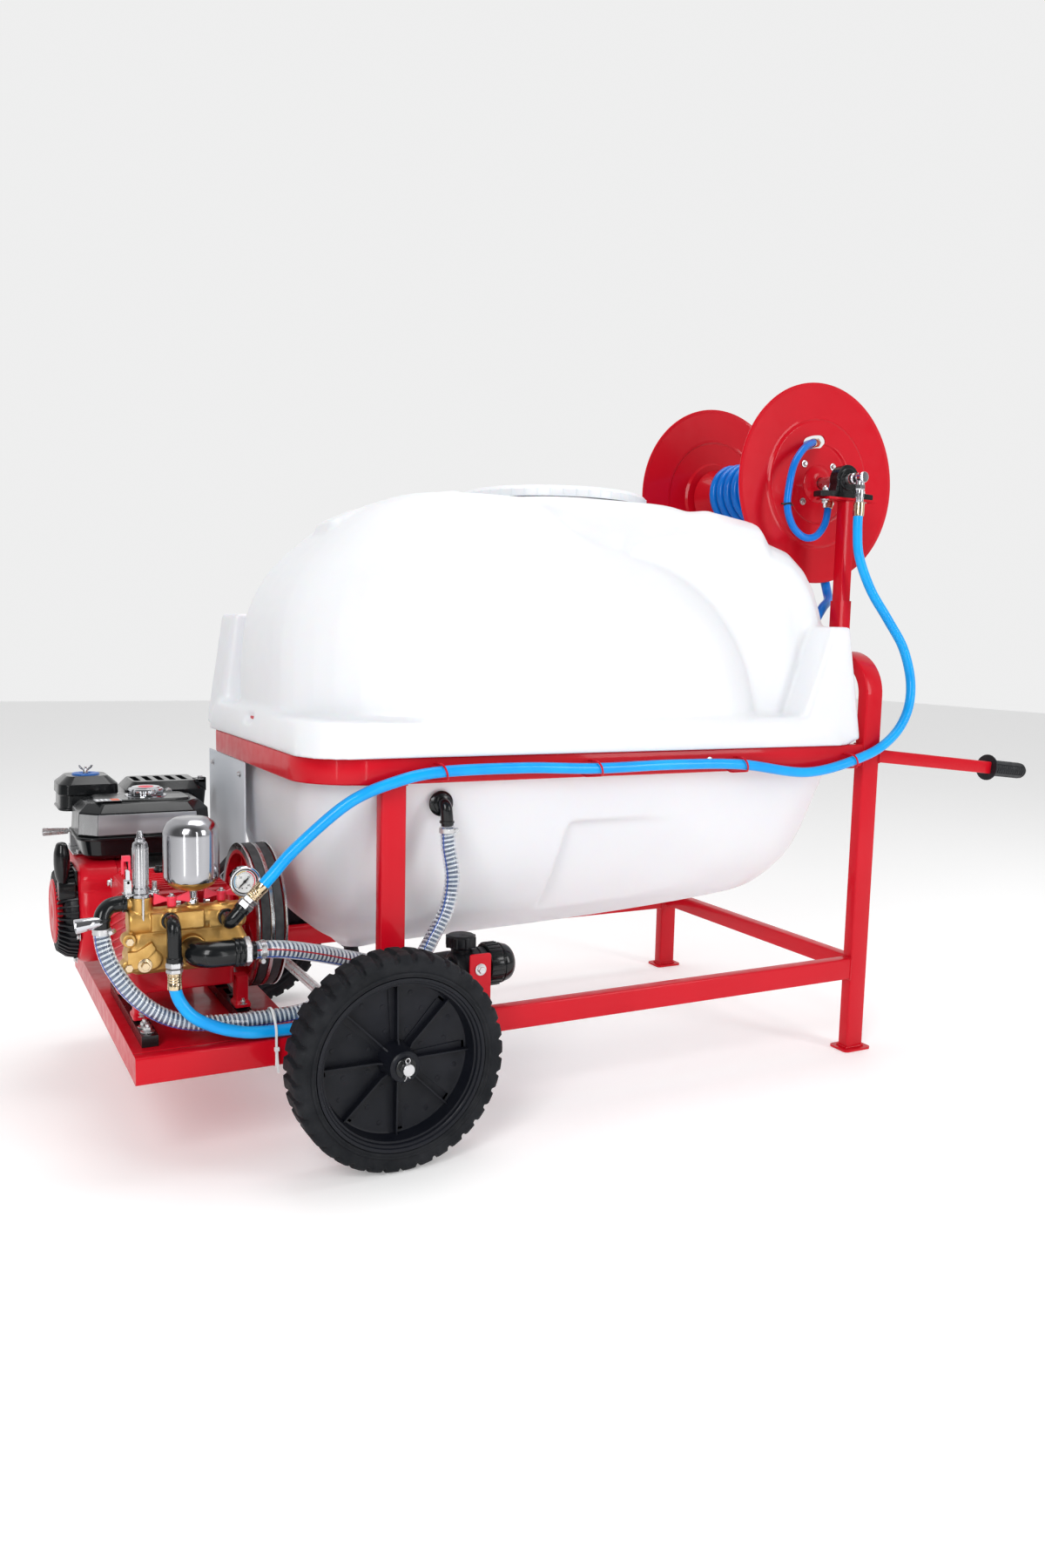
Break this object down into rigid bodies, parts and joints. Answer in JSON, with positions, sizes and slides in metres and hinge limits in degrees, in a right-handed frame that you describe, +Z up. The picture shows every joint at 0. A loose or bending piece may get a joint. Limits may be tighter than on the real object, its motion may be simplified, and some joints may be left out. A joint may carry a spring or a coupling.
{
  "type": "wheeled sprayer cart",
  "caption": "Push cart sprayer: moulded tank on a two-wheeled tube chassis with a petrol engine, belt-driven plunger pump and hose reel.",
  "frame": {"origin": "centre of the base, on the ground, at the middle of the overall length and width measured without the hoses", "axes": "+X from the engine end to the handles, +Z up, -Y the side with the pump"},
  "size_m": [2.281, 1.184, 1.579],
  "materials": {
    "red_paint": "gloss",
    "white_polyethylene": "satin",
    "black_plastic": "satin",
    "tyre_rubber": "matt",
    "belt_rubber": "matt",
    "black_metal": "satin",
    "zinc_steel": "satin",
    "engine_alloy": "as cast",
    "chrome": "polished",
    "cast_brass": "as cast",
    "grey_sheet": "satin",
    "pressure_hose": "satin",
    "spray_hose": "satin",
    "clear_hose": "clear"
  },
  "bodies": {
    "cart": {"agitation_hose": "pressure_hose", "air_chamber": "zinc_steel", "air_cleaner": "black_plastic", "axle": "zinc_steel", "bearing_far": "black_metal", "bearing_near": "black_metal", "drive_belts": "belt_rubber", "engine_block": "engine_alloy", "engine_platform": "red_paint", "engine_shroud": "red_paint", "filter_body": "black_plastic", "fuel_tank": "black_plastic", "grip_far": "black_plastic", "grip_near": "black_plastic", "heat_shield": "grey_sheet", "hose_fitting": "cast_brass", "hose_tail": "spray_hose", "muffler": "black_metal", "pressure_gauge": "zinc_steel", "pressure_regulator": "chrome", "pump_crankcase": "red_paint", "pump_manifold": "cast_brass", "rail_far": "red_paint", "rail_near": "red_paint", "rear_cross_rail": "red_paint", "rear_portal": "red_paint", "recoil_cover": "black_plastic", "reel_post_far": "red_paint", "reel_post_near": "red_paint", "reel_swivel": "chrome", "return_elbow": "black_plastic", "return_hose": "clear_hose", "return_inlet": "black_plastic", "strainer_basket": "black_plastic", "suction_hose": "clear_hose", "supply_hose": "pressure_hose", "tank": "white_polyethylene", "tank_outlet": "black_plastic", "tank_support": "red_paint"},
    "wheel_near": {"tyre_near": "tyre_rubber", "wheel_hub_near": "black_plastic"},
    "wheel_far": {"tyre_far": "tyre_rubber", "wheel_hub_far": "black_plastic"},
    "reel": {"reel_disc_near": "red_paint", "reel_disc_far": "red_paint", "reel_drum": "red_paint", "hose_on_reel": "spray_hose", "reel_crank": "red_paint", "feed_loop_hose": "spray_hose"},
    "pump_pulley": {"pump_pulley": "red_paint"},
    "engine_pulley": {"engine_pulley": "red_paint"},
    "tank_lid": {"tank_lid": "white_polyethylene"},
    "fuel_cap": {"fuel_cap": "chrome"},
    "recoil_grip": {"recoil_grip": "black_plastic"},
    "speed_lever": {"speed_lever": "zinc_steel"},
    "regulator_lever": {"regulator_lever": "zinc_steel"},
    "outlet_valve_left": {"outlet_valve_left": "red_paint"},
    "outlet_valve_right": {"outlet_valve_right": "red_paint"},
    "gauge_needle": {"gauge_needle": "black_plastic"},
    "filter_bowl": {"filter_bowl": "black_plastic"}
  },
  "joints": [
    {"name": "wheel_near_spin", "type": "hinge", "parent": "cart", "child": "wheel_near", "pos_m": [-0.6175, -0.527, 0.2], "axis": [0, 1, 0], "continuous": true},
    {"name": "wheel_far_spin", "type": "hinge", "parent": "cart", "child": "wheel_far", "pos_m": [-0.6175, 0.527, 0.2], "axis": [0, 1, 0], "continuous": true},
    {"name": "reel_spin", "type": "hinge", "parent": "cart", "child": "reel", "pos_m": [0.5825, 0, 1.344], "axis": [0, 1, 0], "continuous": true},
    {"name": "pump_pulley_spin", "type": "hinge", "parent": "cart", "child": "pump_pulley", "pos_m": [-0.776, -0.15, 0.4], "axis": [1, 0, 0], "continuous": true},
    {"name": "engine_pulley_spin", "type": "hinge", "parent": "cart", "child": "engine_pulley", "pos_m": [-0.776, 0.135, 0.373], "axis": [1, 0, 0], "continuous": true},
    {"name": "lid_lift", "type": "slide", "parent": "cart", "child": "tank_lid", "axis": [0, 0, 1], "range_m": [0, 0.15]},
    {"name": "fuel_cap_turn", "type": "hinge", "parent": "cart", "child": "fuel_cap", "pos_m": [-0.9295, 0.15, 0.608], "axis": [0, 0, 1], "range_deg": [0, 90]},
    {"name": "recoil_pull", "type": "slide", "parent": "cart", "child": "recoil_grip", "axis": [-1, 0, 0], "range_m": [0, 0.4], "stiffness_N_per_m": 20},
    {"name": "speed_lever_turn", "type": "hinge", "parent": "cart", "child": "speed_lever", "pos_m": [-1.0725, 0.25, 0.522], "axis": [0, 0, 1], "range_deg": [-20, 25]},
    {"name": "regulator_lever_tilt", "type": "hinge", "parent": "cart", "child": "regulator_lever", "pos_m": [-1.0447, -0.32, 0.518], "axis": [0, 1, 0], "range_deg": [-50, 0]},
    {"name": "outlet_left_turn", "type": "hinge", "parent": "cart", "child": "outlet_valve_left", "pos_m": [-0.9715, -0.33, 0.48], "axis": [0, 0, 1], "range_deg": [-90, 0]},
    {"name": "outlet_right_turn", "type": "hinge", "parent": "cart", "child": "outlet_valve_right", "pos_m": [-0.8795, -0.315, 0.48], "axis": [0, 0, 1], "range_deg": [0, 90]},
    {"name": "gauge_needle_turn", "type": "hinge", "parent": "cart", "child": "gauge_needle", "pos_m": [-0.844, -0.348, 0.509], "axis": [0, 1, 0], "range_deg": [0, 270], "stiffness_Nm_per_rad": 0.001},
    {"name": "filter_bowl_turn", "type": "hinge", "parent": "cart", "child": "filter_bowl", "pos_m": [-0.3482, -0.33, 0.295], "axis": [1, 0, 0], "range_deg": [0, 90]}
  ],
  "couplings": [
    {"joint": "engine_pulley_spin", "follows": "pump_pulley_spin", "ratio": 3.15}
  ]
}
